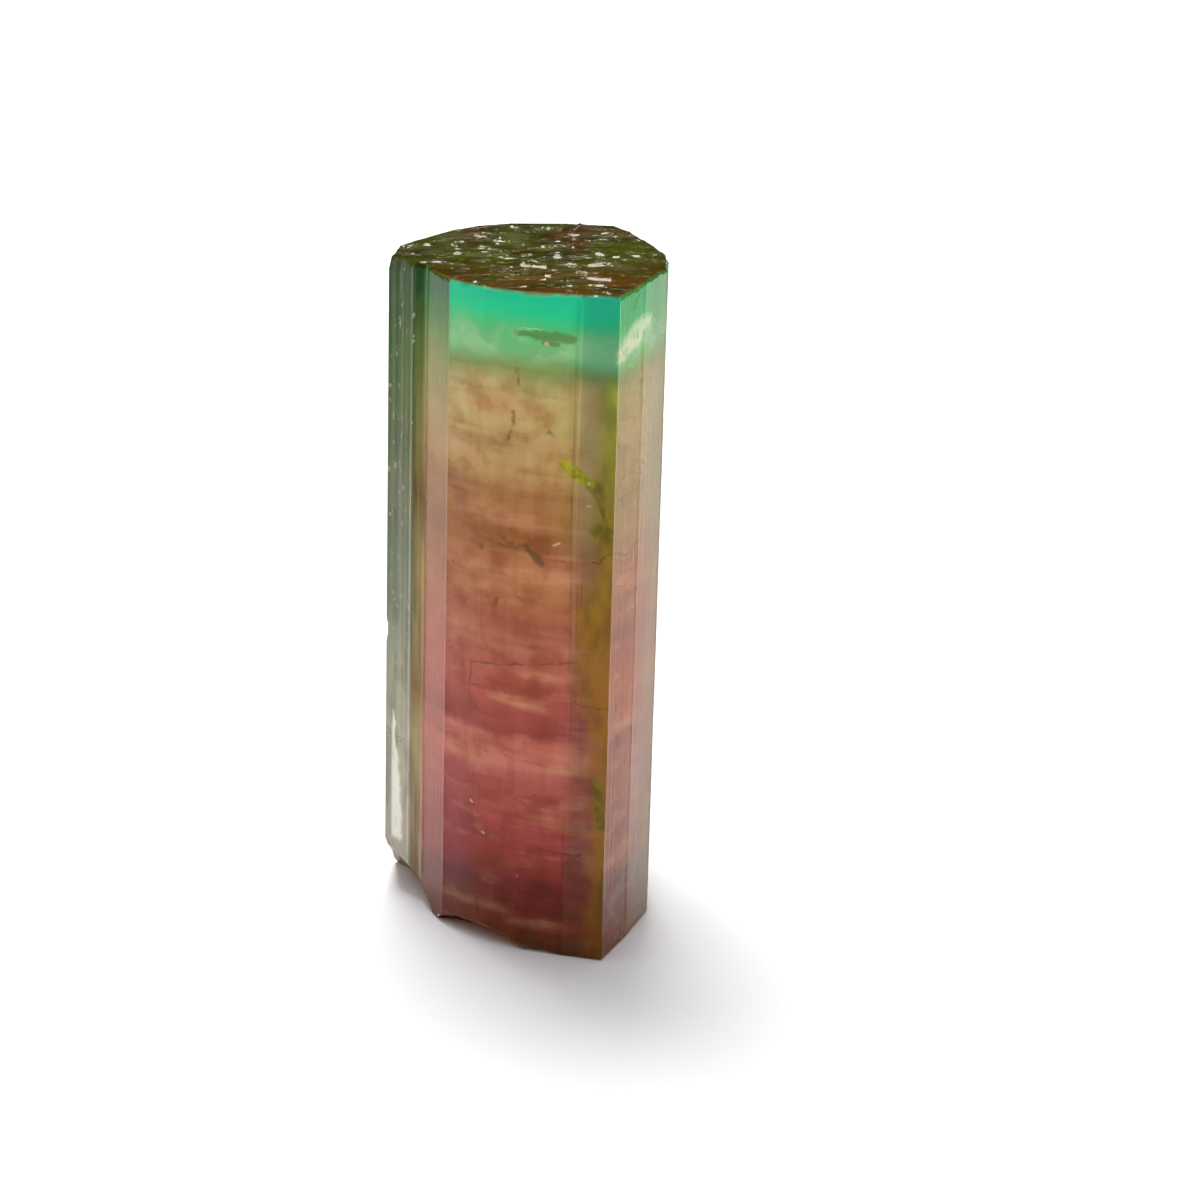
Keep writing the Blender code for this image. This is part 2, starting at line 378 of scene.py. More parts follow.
def crystal_mesh(side, top, top_ring, top_place):
    """One closed mesh: the side's rows, the top's grid inside the last row, and the base's
    rings inside the first row, shrunk one after another towards a middle point."""
    rows = len(side)
    base = np.concatenate((side[:1, :, :2] * np.array(BASE_SCALES)[:, None, None],
                           np.zeros((len(BASE_SCALES), COLUMNS, 1))), axis=2)
    side_count = rows * COLUMNS
    inner = top_ring < RINGS
    top_index = (rows - 1) * COLUMNS + top_place % COLUMNS
    top_index[inner] = side_count + np.arange(inner.sum())
    base_start = side_count + inner.sum()
    middle = base_start + len(BASE_SCALES) * COLUMNS
    points = np.concatenate((side.reshape(-1, 3), top[inner], base.reshape(-1, 3), ((0, 0, 0),)))
    on_top = np.concatenate((np.zeros(side_count), np.ones(inner.sum()),
                             np.zeros(len(BASE_SCALES) * COLUMNS + 1)))
    points, broken = break_away(points)

    index = np.arange(side_count).reshape(rows, COLUMNS)
    following = np.roll(index, -1, axis=1)
    side_faces = np.stack((index[:-1], following[:-1], following[1:], index[1:]), axis=2)
    top_faces = np.stack((top_index[:-1, :-1], top_index[1:, :-1], top_index[1:, 1:],
                          top_index[:-1, 1:]), axis=2)
    base_index = base_start + np.arange(len(BASE_SCALES) * COLUMNS).reshape(-1, COLUMNS)
    base_index = np.concatenate((index[:1], base_index))
    base_next = np.roll(base_index, -1, axis=1)
    base_faces = np.stack((base_index[:-1], base_index[1:], base_next[1:], base_next[:-1]), axis=2)
    fan = np.stack((base_index[-1], np.full(COLUMNS, middle), base_next[-1]), axis=1)
    quads = np.concatenate([faces.reshape(-1, 4) for faces in (side_faces, top_faces, base_faces)])

    mesh = bpy.data.meshes.new("tourmaline")
    mesh.from_pydata(points, [], quads.tolist() + fan.tolist())
    for name, values in (("top", on_top), ("broken", broken)):
        layer = mesh.attributes.new(name, "FLOAT", "POINT")
        layer.data.foreach_set("value", values.astype(np.float32))
    mesh.shade_smooth()
    mesh.set_sharp_from_angle(angle=SHARP_ANGLE)
    return mesh


crystal = bpy.data.objects.new("crystal", crystal_mesh(side, top, top_ring, top_place))
bpy.context.scene.collection.objects.link(crystal)
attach(crystal, "root")
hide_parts("tourmaline_crystal")

# The colours. Bands across the prism mark how it grew: a green cap, a sandy zone, rose below
# and brown at the foot. Green skin covers the left side, and an olive stripe of painted shade,
# where light reflects wholly inside the crystal, runs up the front.


def colour(red, green, blue):
    """A colour given in screen values from 0 to 255, as the linear values a shader takes."""
    screen = np.array((red, green, blue)) / 255.0
    linear = np.where(screen <= 0.04045, screen / 12.92, ((screen + 0.055) / 1.055) ** 2.4)
    return (*linear, 1.0)


# Growth zones: height of each in mm and its colour
ZONES_MM = (
    (0.0, colour(122, 62, 12)),
    (1.4, colour(172, 58, 24)),
    (3.0, colour(164, 42, 44)),
    (5.0, colour(170, 66, 74)),
    (6.0, colour(200, 92, 92)),
    (8.0, colour(198, 96, 92)),
    (9.0, colour(240, 150, 134)),
    (10.0, colour(228, 134, 120)),
    (10.4, colour(168, 67, 73)),
    (12.2, colour(190, 88, 84)),
    (13.4, colour(212, 122, 104)),
    (14.4, colour(226, 152, 122)),
    (15.4, colour(186, 106, 82)),
    (16.4, colour(190, 124, 80)),
    (17.8, colour(206, 140, 94)),
    (19.2, colour(172, 110, 58)),
    (21.2, colour(200, 146, 98)),
    (22.0, colour(228, 190, 132)),
    (25.4, colour(226, 212, 152)),
    (26.5, colour(122, 164, 98)),
    (27.2, colour(108, 218, 150)),
    (28.3, colour(62, 236, 150)),
    (28.9, colour(0, 246, 184)),
    (29.8, colour(2, 246, 200)),
)
# Green skin on the left, cream towards the base
SKIN_MM = (
    (0.0, colour(236, 226, 196)),
    (3.0, colour(246, 240, 214)),
    (8.0, colour(240, 246, 214)),
    (12.0, colour(192, 210, 180)),
    (16.0, colour(152, 180, 148)),
    (19.5, colour(138, 160, 122)),
    (22.0, colour(120, 150, 103)),
    (25.8, colour(72, 124, 48)),
    (29.0, colour(48, 86, 42)),
)
# The groove beside it
GROOVE_MM = (
    (0.0, colour(226, 180, 130)),
    (3.0, colour(250, 222, 190)),
    (8.0, colour(240, 232, 166)),
    (10.2, colour(186, 160, 106)),
    (13.0, colour(216, 204, 140)),
    (17.0, colour(196, 186, 118)),
    (19.2, colour(146, 126, 66)),
    (22.0, colour(176, 170, 98)),
    (25.8, colour(108, 150, 58)),
    (28.5, colour(18, 92, 24)),
)
# The narrow face between the groove and the broad front
NARROW_MM = (
    (0.0, colour(160, 74, 34)),
    (2.5, colour(166, 66, 60)),
    (5.0, colour(180, 92, 88)),
    (8.2, colour(224, 130, 102)),
    (10.4, colour(176, 84, 84)),
    (13.4, colour(216, 130, 104)),
    (16.5, colour(186, 122, 92)),
    (19.2, colour(156, 108, 66)),
    (22.0, colour(196, 148, 92)),
    (25.8, colour(140, 150, 66)),
    (27.4, colour(70, 140, 56)),
    (29.0, colour(14, 82, 34)),
)
# The faces right of the front
RIGHT_MM = (
    (0.0, colour(180, 84, 0)),
    (1.8, colour(176, 64, 0)),
    (3.2, colour(166, 52, 12)),
    (5.0, colour(156, 74, 42)),
    (8.0, colour(190, 102, 60)),
    (12.2, colour(196, 100, 50)),
    (15.4, colour(196, 110, 56)),
    (19.2, colour(196, 132, 72)),
    (22.0, colour(212, 165, 94)),
    (25.8, colour(168, 170, 72)),
    (26.6, colour(126, 168, 58)),
    (27.2, colour(107, 198, 92)),
    (28.3, colour(48, 206, 86)),
    (29.0, colour(0, 200, 96)),
)
# The olive stripe along the front right edge: painted shade of light reflected wholly inside
SEAM_SHADE_MM = (
    (0.0, colour(184, 112, 20)),
    (5.0, colour(214, 150, 44)),
    (12.0, colour(206, 142, 34)),
    (15.5, colour(210, 152, 12)),
    (19.0, colour(204, 166, 14)),
    (21.5, colour(176, 168, 14)),
    (23.5, colour(206, 206, 52)),
    (26.5, colour(214, 232, 84)),
)
ZONE_TOP_MM = 30.0
BULK_COLOUR = (0.80, 0.72, 0.34, 1.0)  # of the light that a long way through the crystal lets by
BULK_DENSITY = 62.0
REFRACTION = 1.63  # tourmaline
SEE_THROUGH = 0.55  # share of the light that the crystal lets in, the rest scatters at its skin
SURFACE_SHINE = 0.05  # of the polished faces, kept low so that the pale floor hardly mirrors in them
GLINT_TINT = (0.5, 0.45, 0.35, 1.0)
# The white patch and the flash are painted highlights, and this glow makes them shine as painted light
HIGHLIGHT_GLOW = 0.32  # strength of the white patch and the flash
BUMP_HEIGHT = 0.1 * MM  # that a height of one stands for
STRIA_HEIGHT = 0.10  # of the finest striations, as a share of that
ETCH_HEIGHT = 0.42  # of the etched lines on the top


def place(tree, kind, values=None, **settings):
    """Adds a node, sets its options, and gives its inputs numbers or other nodes' outputs."""
    made = tree.nodes.new(kind)
    for name, value in settings.items():
        setattr(made, name, value)
    for name, value in (values or {}).items():
        if isinstance(value, bpy.types.NodeSocket):
            tree.links.new(value, made.inputs[name])
        else:
            made.inputs[name].default_value = value
    return made


def calculate(tree, operation, first, second=0.0, third=0.0):
    """The result of a Math node."""
    return place(tree, "ShaderNodeMath", {0: first, 1: second, 2: third}, operation=operation).outputs[0]


def blend_colours(tree, share, first, second, how="MIX"):
    """The result of a colour Mix node."""
    mixed = place(tree, "ShaderNodeMix", {0: share, 6: first, 7: second}, data_type="RGBA", blend_type=how)
    return mixed.outputs[2]


def fade(tree, value, start, end, from_value=0.0, to_value=1.0):
    """A smooth change from one value to another while the input goes from start to end."""
    made = place(tree, "ShaderNodeMapRange", {0: value, 1: start, 2: end, 3: from_value, 4: to_value})
    made.interpolation_type = "SMOOTHSTEP"
    return made.outputs[0]


def start_group(name, inputs, outputs):
    """An empty node group with named sockets: the tree, its inputs and its outputs."""
    group = bpy.data.node_groups.new(name, "ShaderNodeTree")
    for label, kind in inputs:
        group.interface.new_socket(label, in_out="INPUT", socket_type=kind)
    for label, kind in outputs:
        group.interface.new_socket(label, in_out="OUTPUT", socket_type=kind)
    return group, group.nodes.new("NodeGroupInput").outputs, group.nodes.new("NodeGroupOutput").inputs


def use_group(tree, group, values):
    """A copy of a node group in a material, with its own values."""
    made = tree.nodes.new("ShaderNodeGroup")
    made.node_tree = group
    for name, value in values.items():
        if isinstance(value, bpy.types.NodeSocket):
            tree.links.new(value, made.inputs[name])
        else:
            made.inputs[name].default_value = value
    return made.outputs[0]


# Soft band: one between two values, and nothing outside them
soft_band, given, result = start_group(
    "soft_band",
    (("Value", "NodeSocketFloat"), ("Low", "NodeSocketFloat"), ("High", "NodeSocketFloat"),
     ("Softness", "NodeSocketFloat")),
    (("Mask", "NodeSocketFloat"),),
)
low_start = calculate(soft_band, "SUBTRACT", given["Low"], given["Softness"])
low_end = calculate(soft_band, "ADD", given["Low"], given["Softness"])
high_start = calculate(soft_band, "SUBTRACT", given["High"], given["Softness"])
high_end = calculate(soft_band, "ADD", given["High"], given["Softness"])
risen = fade(soft_band, given["Value"], low_start, low_end)
fallen = fade(soft_band, given["Value"], high_start, high_end, 1.0, 0.0)
soft_band.links.new(calculate(soft_band, "MULTIPLY", risen, fallen), result["Mask"])

# Cloud: noise stretched differently along each axis, with its contrast set by two limits
cloud, given, result = start_group(
    "cloud",
    (("Vector", "NodeSocketVector"), ("Stretch", "NodeSocketVector"), ("Detail", "NodeSocketFloat"),
     ("Low", "NodeSocketFloat"), ("High", "NodeSocketFloat")),
    (("Mask", "NodeSocketFloat"),),
)
stretched = place(cloud, "ShaderNodeVectorMath", {0: given["Vector"], 1: given["Stretch"]},
                  operation="MULTIPLY").outputs[0]
noise = place(cloud, "ShaderNodeTexNoise", {"Vector": stretched, "Scale": 1.0, "Detail": given["Detail"]})
cloud.links.new(fade(cloud, noise.outputs["Fac"], given["Low"], given["High"]), result["Mask"])

# Hairlines: thin contour lines of stretched noise, kept only where a second noise is high
hairlines, given, result = start_group(
    "hairlines",
    (("Vector", "NodeSocketVector"), ("Stretch", "NodeSocketVector"), ("Detail", "NodeSocketFloat"),
     ("Width", "NodeSocketFloat"), ("Share", "NodeSocketFloat")),
    (("Mask", "NodeSocketFloat"),),
)
stretched = place(hairlines, "ShaderNodeVectorMath", {0: given["Vector"], 1: given["Stretch"]},
                  operation="MULTIPLY").outputs[0]
waves = place(hairlines, "ShaderNodeTexNoise", {"Vector": stretched, "Scale": 1.0, "Detail": given["Detail"]})
away = calculate(hairlines, "ABSOLUTE", calculate(hairlines, "SUBTRACT", waves.outputs["Fac"], 0.5))
line = fade(hairlines, away, 0.0, given["Width"], 1.0, 0.0)
moved = place(hairlines, "ShaderNodeVectorMath", {0: stretched, 1: (31.0, 17.0, 5.0)},
              operation="ADD").outputs[0]
patches = place(hairlines, "ShaderNodeTexNoise", {"Vector": moved, "Scale": 0.9, "Detail": 1.0})
cut = calculate(hairlines, "SUBTRACT", 1.0, given["Share"])
kept = fade(hairlines, patches.outputs["Fac"], cut, calculate(hairlines, "ADD", cut, 0.08))
hairlines.links.new(calculate(hairlines, "MULTIPLY", line, kept), result["Mask"])

# Stroke: one along a straight piece, and nothing a width away from it. The piece over its own
# square length is given too, which turns a distance along the piece into a share of it.
stroke, given, result = start_group(
    "stroke",
    (("Vector", "NodeSocketVector"), ("Start", "NodeSocketVector"), ("Piece", "NodeSocketVector"),
     ("Piece Over Square", "NodeSocketVector"), ("Inner", "NodeSocketFloat"), ("Width", "NodeSocketFloat")),
    (("Mask", "NodeSocketFloat"),),
)
reach = place(stroke, "ShaderNodeVectorMath", {0: given["Vector"], 1: given["Start"]},
              operation="SUBTRACT").outputs[0]
along = place(stroke, "ShaderNodeVectorMath", {0: reach, 1: given["Piece Over Square"]},
              operation="DOT_PRODUCT").outputs["Value"]
share = place(stroke, "ShaderNodeClamp", {0: along}).outputs[0]
nearest = place(stroke, "ShaderNodeVectorMath", {0: given["Piece"], 3: share}, operation="SCALE").outputs[0]
distance = place(stroke, "ShaderNodeVectorMath", {0: reach, 1: nearest},
                 operation="DISTANCE").outputs["Value"]
stroke.links.new(fade(stroke, distance, given["Inner"], given["Width"], 1.0, 0.0), result["Mask"])

material = bpy.data.materials.new("tourmaline_look")
material.use_nodes = True
tree = material.node_tree
shader = tree.nodes["Principled BSDF"]
position = place(tree, "ShaderNodeTexCoord").outputs["Object"]
in_mm = place(tree, "ShaderNodeVectorMath", {0: position, 3: 1000.0}, operation="SCALE").outputs[0]
axes = place(tree, "ShaderNodeSeparateXYZ", {0: in_mm}).outputs


def band(value, low, high, softness):
    """One where a value lies between two limits, with a smooth step at each limit."""
    return use_group(tree, soft_band, {"Value": value, "Low": low, "High": high, "Softness": softness})


def clouds(stretch, low, high, detail=3.0):
    """Noise of the position times a stretch per mm, raised from 0 at its low limit to 1 at its high."""
    return use_group(tree, cloud, {
        "Vector": in_mm, "Stretch": stretch, "Detail": detail, "Low": low, "High": high,
    })


def both(first, second):
    """The product of two masks, or of a mask and a number."""
    return calculate(tree, "MULTIPLY", first, second)


# The zones, whose edges wander up and down
slow = place(tree, "ShaderNodeTexNoise", {"Vector": in_mm, "Scale": 0.2, "Detail": 2.0}).outputs["Fac"]
quick = place(tree, "ShaderNodeTexNoise", {"Vector": in_mm, "Scale": 1.1, "Detail": 3.0}).outputs["Fac"]
wander = calculate(tree, "MULTIPLY_ADD", slow, 1.3, calculate(tree, "MULTIPLY_ADD", quick, 0.5, -0.9))
level = both(calculate(tree, "ADD", axes["Z"], wander), 1.0 / ZONE_TOP_MM)


def height_colours(stops):
    """The colour at each height, from a colour ramp of the crystal's wandering levels."""
    made = place(tree, "ShaderNodeValToRGB", {0: level})
    elements = made.color_ramp.elements
    while len(elements) < len(stops):
        elements.new(0.5)
    for element, (height, shade) in zip(elements, stops):
        element.position = height / ZONE_TOP_MM
        element.color = shade
    return made.outputs["Color"]


body = height_colours(ZONES_MM)
in_front = fade(tree, axes["Y"], 0.9, 1.3, 1.0, 0.0)
# The colours of the right and left sides fade out round the back, along a wandering line
round_back = calculate(tree, "MULTIPLY_ADD", quick, 2.4, calculate(tree, "ADD", axes["Y"], -1.2))
right_faces = both(band(axes["X"], 4.06, 9.0, 0.02), fade(tree, round_back, -1.2, 5.0, 1.0, 0.0))
body = blend_colours(tree, right_faces, body, height_colours(RIGHT_MM))

# Thin level layers, soft upright streaks and cloudy patches inside the zones
under_cap = fade(tree, axes["Z"], 25.6, 26.8, 1.0, 0.0)
rose_part = band(axes["Z"], 5.0, 19.0, 2.0)
tan_part = band(axes["Z"], 19.0, 26.0, 1.0)
layers = both(clouds((0.13, 0.13, 1.7), 0.46, 0.74, 4.0), 0.42)
body = blend_colours(tree, both(layers, under_cap), body, colour(168, 104, 84), "MULTIPLY")
pale_layers = both(both(clouds((0.24, 0.24, 1.1), 0.50, 0.74, 5.0), 0.55), under_cap)
body = blend_colours(tree, pale_layers, body, colour(240, 178, 142))
upright = both(clouds((1.1, 1.1, 0.2), 0.42, 0.68, 2.0), 0.30)
body = blend_colours(tree, both(upright, under_cap), body, colour(196, 150, 104), "MULTIPLY")
patches = both(clouds((0.7, 0.7, 0.9), 0.42, 0.66, 5.0), 0.6)
body = blend_colours(tree, both(patches, under_cap), body, colour(196, 150, 100), "MULTIPLY")
pale_patches = both(both(clouds((0.45, 0.45, 0.6), 0.52, 0.62, 4.0), 0.55), band(axes["Z"], 21.6, 25.6, 0.8))
body = blend_colours(tree, pale_patches, body, colour(244, 196, 146))
olive_side = both(both(fade(tree, axes["X"], 0.8, 3.2), 0.5), tan_part)
body = blend_colours(tree, olive_side, body, colour(176, 164, 70))
magenta = both(both(band(axes["Z"], 2.2, 8.0, 1.0), fade(tree, axes["X"], -1.4, -2.4)), 0.35)
body = blend_colours(tree, magenta, body, colour(140, 44, 84))
mint = both(both(band(axes["Z"], 27.0, 28.2, 0.5), clouds((0.6, 0.6, 0.9), 0.38, 0.58, 3.0)), 0.75)
body = blend_colours(tree, mint, body, colour(156, 246, 186))
# Painted light: a pale strip left of the seam shade lifts the dark band of total reflection there
painted_light_strip = both(fade(tree, axes["X"], 2.20, 2.32), fade(tree, axes["X"], 3.0, 3.7, 1.0, 0.0))
painted_light_strip = both(both(painted_light_strip, under_cap), fade(tree, axes["Z"], 17.0, 20.0, 0.05, 0.22))
body = blend_colours(tree, both(painted_light_strip, in_front), body, colour(255, 226, 176))
cream = both(both(right_faces, under_cap), both(clouds((0.7, 0.7, 0.9), 0.46, 0.70, 4.0), 0.34))
body = blend_colours(tree, cream, body, colour(238, 196, 132))
green_rim = both(both(fade(tree, axes["X"], 5.0, 5.9), right_faces), 0.42)
body = blend_colours(tree, green_rim, body, colour(136, 150, 84))
behind = both(fade(tree, axes["Y"], 0.9, 2.0), fade(tree, axes["Z"], 26.6, 27.6))
body = blend_colours(tree, both(behind, 0.8), body, colour(70, 110, 66))

# The left side: green skin, the groove beside it, and the narrow face right of that
skin = height_colours(SKIN_MM)
skin = blend_colours(tree, both(clouds((0.9, 0.9, 0.35), 0.45, 0.62, 3.0), 0.35), skin, colour(104, 122, 96))
skin = blend_colours(tree, both(clouds((3.4, 3.4, 2.2), 0.62, 0.68, 4.0), 0.6), skin, colour(226, 232, 216))
skin_share = both(band(axes["X"], -9.0, -4.80, 0.10), fade(tree, round_back, 1.4, 4.6, 1.0, 0.0))
body = blend_colours(tree, skin_share, body, skin)
groove = both(band(axes["X"], -4.84, -4.30, 0.05), in_front)
groove_tone = blend_colours(tree, both(clouds((2.0, 2.0, 0.2), 0.4, 0.62), 0.4), height_colours(GROOVE_MM),
                            colour(92, 78, 26), "MULTIPLY")
body = blend_colours(tree, groove, body, groove_tone)
narrow = both(band(axes["X"], -4.30, -3.20, 0.03), in_front)
body = blend_colours(tree, both(narrow, fade(tree, axes["Z"], 21.0, 27.0, 0.7, 1.0)), body,
                     height_colours(NARROW_MM))

# The olive stripe along the front right edge: painted shade of light reflected wholly inside
# Painted shade: its colours stand in for the darkness of total reflection, not for a seam
seam_shade_edge = calculate(tree, "MULTIPLY_ADD", quick, 1.3, 2.75)
seam_shade_edge = calculate(tree, "MULTIPLY_ADD", band(axes["Z"], 11.5, 17.0, 1.5), -0.75, seam_shade_edge)
before_edge = fade(tree, axes["Y"], -6.6, -6.75, 0.0, 1.0)
past_edge = fade(tree, calculate(tree, "SUBTRACT", axes["X"], seam_shade_edge), -0.5, 0.5)
seam_shade = both(both(past_edge, before_edge), under_cap)
seam_shade_tone = blend_colours(tree, both(clouds((1.1, 1.1, 0.5), 0.40, 0.66, 3.0), 0.6), height_colours(SEAM_SHADE_MM),
                          colour(160, 165, 70), "MULTIPLY")
not_right = calculate(tree, "SUBTRACT", 1.0, right_faces)
body = blend_colours(tree, both(both(seam_shade, not_right), 0.85), body, seam_shade_tone)

# What is enclosed in the crystal: needles, cracks and a green flake, with glints that are painted
# highlights. They are painted on its front, each as a chain of points, x and height, with a width,
# and noise shakes their course.
MARK_CORE = 0.35  # share of a mark's width that is solid, before it fades
NEEDLES_MM = (
    (((0.29, 18.78), (0.62, 18.45)), 0.18),
    (((0.62, 18.45), (0.98, 18.14)), 0.26),
    (((4.42, 10.15), (4.47, 9.75)), 0.13),
    (((4.38, 11.75), (4.37, 11.55)), 0.10),
)
CRACKS_MM = (
    (((-0.58, 19.02), (-0.36, 18.86)), 0.22),
    (((0.35, 19.3), (0.50, 18.95)), 0.16),
    (((-0.95, 18.66), (-0.30, 18.64), (0.18, 18.71)), 0.09),
    (((-1.98, 18.50), (-1.66, 18.40)), 0.20),
    (((-0.19, 26.5), (-0.14, 25.8)), 0.09),
    (((-0.37, 24.6), (-0.36, 24.1), (-0.54, 23.4)), 0.11),
    (((1.16, 23.95), (1.45, 23.8)), 0.13),
    (((1.07, 18.39), (1.63, 18.26), (3.38, 18.38), (3.87, 18.82)), 0.06),
    (((-0.98, 15.94), (-0.92, 16.21)), 0.13),
    (((-1.98, 13.06), (0.30, 13.42), (2.62, 13.81)), 0.055),
    (((-2.01, 13.04), (-2.00, 10.49)), 0.055),
    (((1.10, 4.99), (2.10, 4.85), (2.97, 4.93)), 0.07),
    (((4.06, 18.9), (4.60, 18.4), (5.60, 18.9)), 0.07),
    (((4.20, 16.1), (4.90, 16.6), (5.90, 16.2)), 0.06),
)
LEAVES_MM = (
    (((1.76, 22.57), (1.98, 22.49)), 0.20),
    (((1.98, 22.49), (2.24, 22.33)), 0.32),
    (((2.24, 22.33), (2.60, 22.06)), 0.42),
    (((2.60, 22.06), (3.00, 21.80)), 0.32),
)
DARK_LEAVES_MM = (
    (((3.14, 21.72), (3.34, 21.52), (3.42, 21.28)), 0.38),
    (((3.46, 21.0), (3.62, 20.3)), 0.14),
    (((3.36, 19.81), (3.62, 19.75), (3.80, 19.60)), 0.50),
    (((3.62, 8.30), (3.86, 6.40)), 0.34),
)
CAP_MARKS_MM = (
    (((-0.30, 28.00), (0.60, 28.06)), 0.16),
    (((0.60, 28.06), (2.10, 27.98)), 0.30),
    (((0.90, 27.78), (1.50, 27.72)), 0.18),
)
# Glints: painted highlights
PAINTED_GLINTS_MM = (
    (((2.90, 20.86), (3.02, 20.85)), 0.08),
    (((1.47, 18.94), (1.74, 19.08)), 0.08),
    (((2.96, 21.82), (3.00, 21.80)), 0.09),
    (((-1.39, 5.20), (-1.32, 5.15)), 0.09),
    (((0.19, 3.58), (0.20, 3.52)), 0.09),
    (((-1.90, 6.58), (-1.86, 6.50)), 0.09),
    (((-0.34, 27.98), (-0.30, 27.98)), 0.15),
    (((1.03, 27.74), (1.06, 27.74)), 0.15),
    (((-0.10, 28.26), (0.80, 28.32)), 0.05),
)
# Painted highlights: the pale flash high on the right, and the white patch low on the left side, a painted
# reflection
FLASH_HIGHLIGHT_MM = (
    (((4.16, 27.40), (4.60, 27.80)), 0.42),
    (((4.60, 27.80), (5.00, 28.25)), 0.58),
)
WHITE_REFLECTION_MM = (
    (((-5.78, 8.6), (-5.74, 6.6)), 0.16),
    (((-5.72, 6.60), (-5.66, 4.90)), 0.36),
    (((-5.66, 4.90), (-5.62, 2.70)), 0.46),
)
facing_front = fade(tree, axes["Y"], 0.3, 0.5, 1.0, 0.0)


def shaken(scale, detail, reach):
    """The position in mm laid flat in X and Z, and moved by noise up to a distance each way."""
    noise = place(tree, "ShaderNodeTexNoise", {"Vector": in_mm, "Scale": scale, "Detail": detail})
    moved = place(tree, "ShaderNodeVectorMath",
                  {0: noise.outputs["Color"], 1: [2.0 * reach] * 3, 2: in_mm}, operation="MULTIPLY_ADD")
    centred = place(tree, "ShaderNodeVectorMath", {0: moved.outputs[0], 1: [reach] * 3}, operation="SUBTRACT")
    flat = place(tree, "ShaderNodeVectorMath", {0: centred.outputs[0], 1: (1.0, 0.0, 1.0)},
                 operation="MULTIPLY")
    return flat.outputs[0]


def marks(chains, where):
    """The highest of the strokes along every piece of every chain, kept to the front."""
    mask = 0.0
    for points, width in chains:
        ends = np.insert(np.array(points), 1, 0.0, axis=1)
        for start, piece in zip(ends[:-1], np.diff(ends, axis=0)):
            near = use_group(tree, stroke, {
                "Vector": where, "Start": start, "Piece": piece, "Piece Over Square": piece / (piece @ piece),
                "Inner": MARK_CORE * width, "Width": width,
            })
            mask = calculate(tree, "MAXIMUM", mask, near)
    return both(mask, facing_front)


ragged = shaken(2.3, 3.0, 0.16)
veined = clouds((2.2, 2.2, 2.2), 0.38, 0.62, 2.0)
blotched = fade(tree, clouds((1.9, 1.9, 1.9), 0.36, 0.60, 4.0), 0.0, 1.0, 0.25, 1.0)
leaf_tone = blend_colours(tree, veined, colour(158, 152, 4), colour(206, 206, 20))
dark_leaf_tone = blend_colours(tree, veined, colour(112, 112, 0), colour(150, 146, 10))
body = blend_colours(tree, both(marks(DARK_LEAVES_MM, ragged), 0.75), body, dark_leaf_tone)
body = blend_colours(tree, both(marks(LEAVES_MM, ragged), 0.95), body, leaf_tone)
body = blend_colours(tree, both(marks(CAP_MARKS_MM, ragged), 0.65), body, colour(74, 96, 14))
body = blend_colours(tree, both(both(marks(CRACKS_MM, ragged), blotched), 0.65), body, colour(88, 58, 22))
needle_tone = blend_colours(tree, veined, colour(50, 30, 8), colour(104, 72, 38))
body = blend_colours(tree, both(marks(NEEDLES_MM, ragged), 0.85), body, needle_tone)
# Painted highlights: pale glints, the flash and the white reflection, lighter than the crystal
painted_glints = both(marks(PAINTED_GLINTS_MM, ragged), blotched)
body = blend_colours(tree, both(painted_glints, 0.6), body, colour(255, 246, 214))
flash_highlight = both(marks(FLASH_HIGHLIGHT_MM, ragged), clouds((1.4, 1.4, 1.6), 0.24, 0.52, 3.0))
body = blend_colours(tree, both(flash_highlight, 0.9), body, colour(226, 255, 206))
white_reflection = both(marks(WHITE_REFLECTION_MM, ragged), clouds((1.2, 1.2, 0.5), 0.24, 0.46, 3.0))
body = blend_colours(tree, white_reflection, body, colour(255, 255, 240))

# Hairline cracks: level ones in the rose zones, and short ones on the right faces, which are
# fainter towards the back
level_cracks = use_group(tree, hairlines, {"Vector": in_mm, "Stretch": (0.16, 0.16, 0.85), "Detail": 3.0,
                                           "Width": 0.006, "Share": 0.50})
body = blend_colours(tree, both(both(level_cracks, rose_part), 0.5), body, colour(110, 62, 40), "MULTIPLY")
side_cracks = use_group(tree, hairlines, {"Vector": in_mm, "Stretch": (0.5, 0.5, 0.6), "Detail": 3.0,
                                          "Width": 0.012, "Share": 0.52})
side_cracks = both(both(side_cracks, right_faces), fade(tree, axes["Y"], -3.5, 0.0, 0.62, 0.18))
body = blend_colours(tree, side_cracks, body, colour(104, 74, 44), "MULTIPLY")

# The top: dark olive, with red brown towards the front
on_top = place(tree, "ShaderNodeAttribute", attribute_name="top").outputs["Fac"]
is_broken = place(tree, "ShaderNodeAttribute", attribute_name="broken").outputs["Fac"]
top_patches = clouds((0.35, 0.6, 0.3), 0.40, 0.62, 3.0)
top_tone = blend_colours(tree, top_patches, colour(90, 96, 6), colour(60, 64, 0))
reddish = both(fade(tree, axes["Y"], 0.5, -5.5), clouds((0.4, 0.8, 0.3), 0.36, 0.6, 4.0))
top_tone = blend_colours(tree, reddish, top_tone, colour(118, 80, 10))
brown_back = both(band(axes["Y"], 1.0, 6.0, 1.5), clouds((0.3, 0.5, 0.3), 0.50, 0.62, 3.0))
top_tone = blend_colours(tree, both(brown_back, 0.8), top_tone, colour(104, 58, 10))
body = blend_colours(tree, on_top, body, top_tone)
body = blend_colours(tree, both(is_broken, 0.5), body, colour(150, 96, 70))

